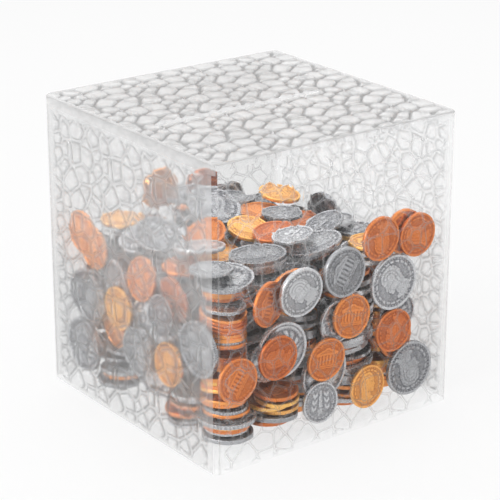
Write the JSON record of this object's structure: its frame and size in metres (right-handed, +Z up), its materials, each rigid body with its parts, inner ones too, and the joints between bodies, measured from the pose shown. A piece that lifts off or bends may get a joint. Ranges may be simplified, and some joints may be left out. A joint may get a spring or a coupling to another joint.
{
  "type": "money box",
  "caption": "Clear cube money box with pebbled faces and a coin slot in its flat lid, more than half full of loose coins.",
  "frame": {"origin": "middle of the underside, on the surface that the box stands on", "axes": "+Z up, +X along the front face and the coin slot, +Y from the front face to the back"},
  "size_m": [0.123, 0.123, 0.13],
  "materials": {
    "clear_acrylic": "clear, pebbled outside",
    "copper": "worn copper",
    "cupronickel": "worn satin",
    "clad_silver": "worn satin"
  },
  "bodies": {
    "root": {"back_panel": "clear_acrylic", "base_panel": "clear_acrylic", "dime_coins": "clad_silver", "dime_stacks": "clad_silver", "front_panel": "clear_acrylic", "left_panel": "clear_acrylic", "lid_panel": "clear_acrylic", "nickel_coins": "cupronickel", "nickel_stacks": "cupronickel", "penny_coins": "copper", "penny_stacks": "copper", "quarter_coins": "clad_silver", "quarter_stacks": "clad_silver", "right_panel": "clear_acrylic"}
  },
  "joints": []
}
